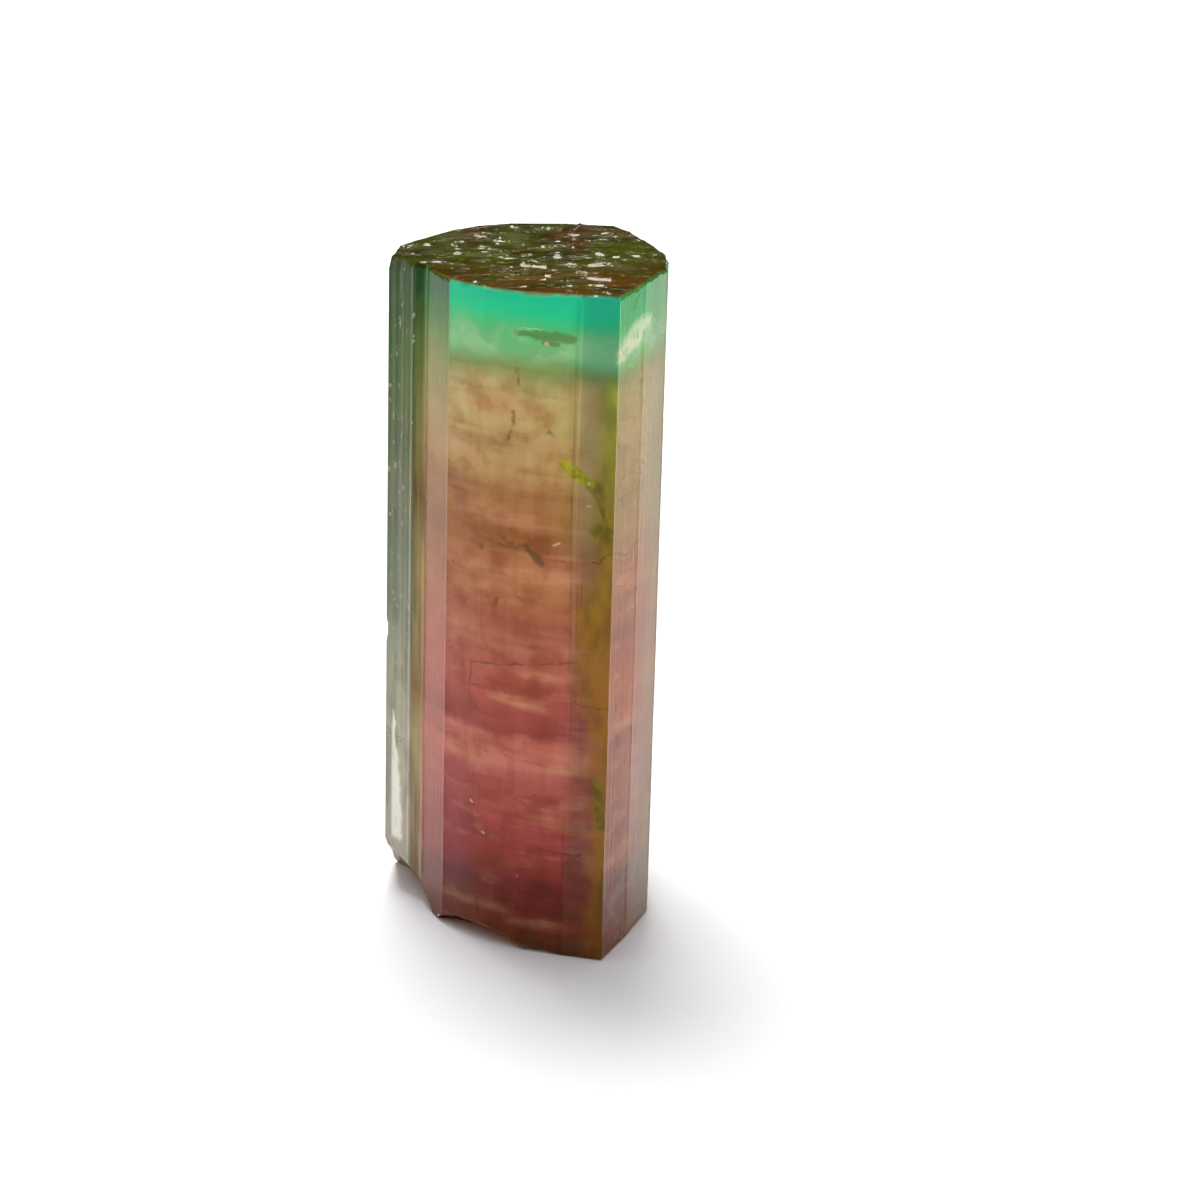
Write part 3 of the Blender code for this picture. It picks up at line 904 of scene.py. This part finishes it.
# The finish: polished faces over a cloudy inside, an etched top and dull breaks
upright_grain = place(tree, "ShaderNodeVectorMath", {0: in_mm, 1: (7.0, 7.0, 0.12)},
                      operation="MULTIPLY").outputs[0]
striae = place(tree, "ShaderNodeTexNoise", {"Vector": upright_grain, "Scale": 1.0, "Detail": 1.0})
striae = both(striae.outputs["Fac"], STRIA_HEIGHT)
etching = use_group(tree, hairlines, {"Vector": in_mm, "Stretch": (1.6, 2.4, 0.3), "Detail": 1.5,
                                      "Width": 0.09, "Share": 0.46})
relief = place(tree, "ShaderNodeMix", {0: on_top, 2: striae, 3: both(etching, ETCH_HEIGHT)}).outputs[0]
bump = place(tree, "ShaderNodeBump", {"Strength": 1.0, "Distance": BUMP_HEIGHT, "Height": relief})
roughness = calculate(tree, "MULTIPLY_ADD", clouds((0.7, 0.7, 0.2), 0.35, 0.7), 0.10, 0.16)
roughness = calculate(tree, "MULTIPLY_ADD", on_top, -0.13, roughness)
roughness = calculate(tree, "MULTIPLY_ADD", is_broken, 0.15, roughness)
tree.links.new(body, shader.inputs["Base Color"])
tree.links.new(roughness, shader.inputs["Roughness"])
tree.links.new(bump.outputs[0], shader.inputs["Normal"])
# The white reflection and the flash also glow, as painted light, though no lamp is there
highlight_mask = calculate(tree, "MAXIMUM", white_reflection, both(flash_highlight, 0.35))
highlight_glow_colour = blend_colours(tree, highlight_mask, colour(0, 0, 0), colour(255, 254, 238))
tree.links.new(highlight_glow_colour, shader.inputs["Emission Color"])
shader.inputs["Emission Strength"].default_value = HIGHLIGHT_GLOW
shader.inputs["Transmission Weight"].default_value = SEE_THROUGH
shader.inputs["IOR"].default_value = REFRACTION
shader.inputs["Specular IOR Level"].default_value = SURFACE_SHINE
shader.inputs["Specular Tint"].default_value = GLINT_TINT
absorb = place(tree, "ShaderNodeVolumeAbsorption", {"Color": BULK_COLOUR, "Density": BULK_DENSITY})
tree.links.new(absorb.outputs[0], tree.nodes["Material Output"].inputs["Volume"])
crystal.data.materials.append(material)

# The floor is a wide pale sheet of matt paper, drawn as one flat square.
FLOOR_HALF = 2.0
PAPER_COLOUR = (0.95, 0.955, 0.96, 1.0)
PAPER_ROUGHNESS = 0.9
floor_mesh = bpy.data.meshes.new("floor")
edge = np.array((-FLOOR_HALF, FLOOR_HALF))
floor_x, floor_y = np.meshgrid(edge, edge, indexing="ij")
floor_points = np.stack((floor_x, floor_y, np.zeros((2, 2))), axis=2).reshape(-1, 3)
floor_mesh.from_pydata(floor_points, [], [(0, 2, 3, 1)])
floor = bpy.data.objects.new("floor", floor_mesh)
bpy.context.scene.collection.objects.link(floor)
paper = bpy.data.materials.new("paper")
paper.use_nodes = True
paper_shader = paper.node_tree.nodes["Principled BSDF"]
paper_shader.inputs["Base Color"].default_value = PAPER_COLOUR
paper_shader.inputs["Roughness"].default_value = PAPER_ROUGHNESS
floor_mesh.materials.append(paper)

# The lights: one large soft light high behind and left, one fill from the front, and a sky
# that is dim at the horizon and bright overhead.
LIGHTS = (
    # name, place, size, power in watts
    ("high_light", (-0.06, 0.19, 0.45), 0.22, 2.4),
    ("front_light", (0.06, -0.50, 0.44), 0.50, 0.4),
)
for name, where, size, power in LIGHTS:
    data = bpy.data.lights.new(name, "AREA")
    data.size = size
    data.energy = power
    light = bpy.data.objects.new(name, data)
    light.location = where
    light.rotation_euler = (-Vector(where)).to_track_quat("-Z", "Y").to_euler()
    bpy.context.scene.collection.objects.link(light)

SKY_STRENGTH = 0.8
SKY_STOPS = (
    # how far up from the horizon, as the sine of the angle, and the colour
    (0.30, (0.03, 0.03, 0.03, 1.0)),
    (0.9, (0.95, 0.97, 1.0, 1.0)),
)
world = bpy.data.worlds.new("studio")
bpy.context.scene.world = world
world.use_nodes = True
sky = world.node_tree
direction = place(sky, "ShaderNodeTexCoord").outputs["Generated"]
up = place(sky, "ShaderNodeSeparateXYZ", {0: direction}).outputs["Z"]
glow = place(sky, "ShaderNodeValToRGB", {0: up})
for element, (height, shade) in zip(glow.color_ramp.elements, SKY_STOPS):
    element.position = height
    element.color = shade
sky.links.new(glow.outputs["Color"], sky.nodes["Background"].inputs["Color"])
sky.nodes["Background"].inputs["Strength"].default_value = SKY_STRENGTH

# The camera stands where the photograph was taken from, found from the prism's edges.
CAMERA_PLACE_MM = (3.53, -140.3, 61.0)
CAMERA_DOWN = math.radians(18.41)
CAMERA_ROLL = math.radians(1.61)
FOCAL_PIXELS = 3293.0
FRAME_PIXELS = 1200.0
SENSOR_MM = 36.0

ahead = Vector((0.0, math.cos(CAMERA_DOWN), -math.sin(CAMERA_DOWN)))
level_up = Vector((0.0, math.sin(CAMERA_DOWN), math.cos(CAMERA_DOWN)))
level_right = Vector((1.0, 0.0, 0.0))
camera_right = math.cos(CAMERA_ROLL) * level_right + math.sin(CAMERA_ROLL) * level_up
camera_up = math.cos(CAMERA_ROLL) * level_up - math.sin(CAMERA_ROLL) * level_right
camera = bpy.data.objects.new("camera", bpy.data.cameras.new("camera"))
bpy.context.scene.collection.objects.link(camera)
stand = Matrix((camera_right, camera_up, -ahead)).transposed().to_4x4()
stand.translation = Vector(CAMERA_PLACE_MM) * MM
camera.matrix_world = stand
camera.data.sensor_width = SENSOR_MM
camera.data.lens = FOCAL_PIXELS / FRAME_PIXELS * SENSOR_MM
camera.data.clip_start = 0.01
bpy.context.scene.camera = camera
bpy.context.scene.view_settings.view_transform = "Standard"
